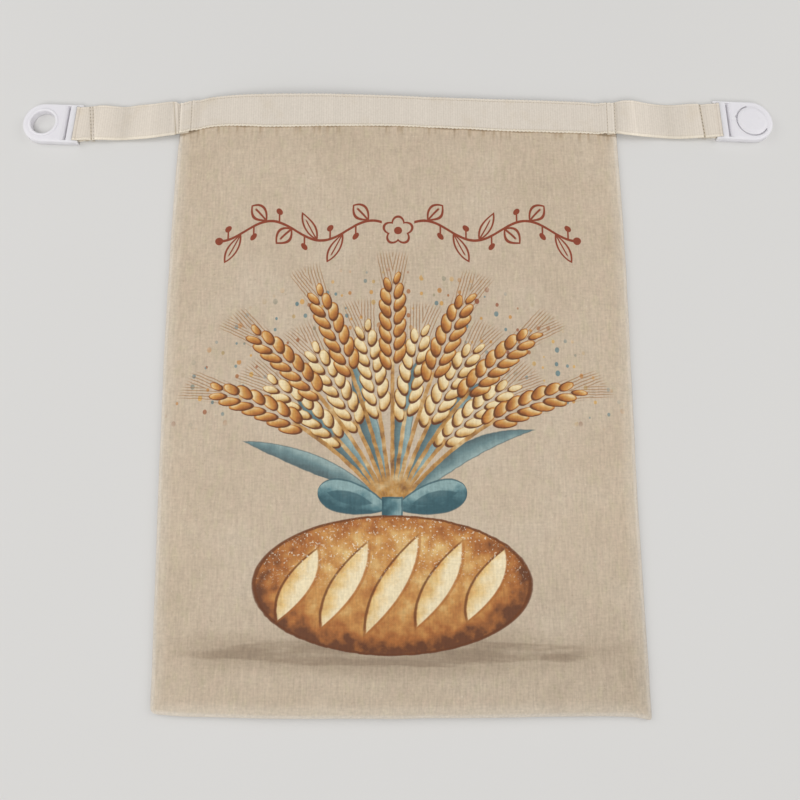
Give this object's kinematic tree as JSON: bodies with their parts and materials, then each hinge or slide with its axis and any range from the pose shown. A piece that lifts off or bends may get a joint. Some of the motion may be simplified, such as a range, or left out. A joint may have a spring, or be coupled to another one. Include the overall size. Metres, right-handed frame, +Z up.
{
  "type": "beeswax bread bag",
  "caption": "Flat waxed cotton bread bag lying open at the mouth, with a webbing band and tails that end in the halves of a plastic snap buckle.",
  "frame": {"origin": "middle of the footprint, on the table", "axes": "+X along the mouth, from the socket half of the buckle to the button half; +Y from the bottom seam to the mouth; +Z up from the table, out of the bag's printed face"},
  "size_m": [0.5165, 0.409, 0.0102],
  "materials": {
    "waxed_canvas": "beige waxed cotton canvas, faint sheen, printed front",
    "cotton_webbing": "cream ribbed cotton webbing, matt",
    "white_plastic": "white moulded plastic, satin"
  },
  "bodies": {
    "root": {"front_panel": "waxed_canvas", "back_panel": "waxed_canvas", "front_band": "cotton_webbing", "left_strap": "cotton_webbing", "right_strap": "cotton_webbing", "left_buckle": "white_plastic", "right_buckle": "white_plastic"}
  },
  "joints": []
}
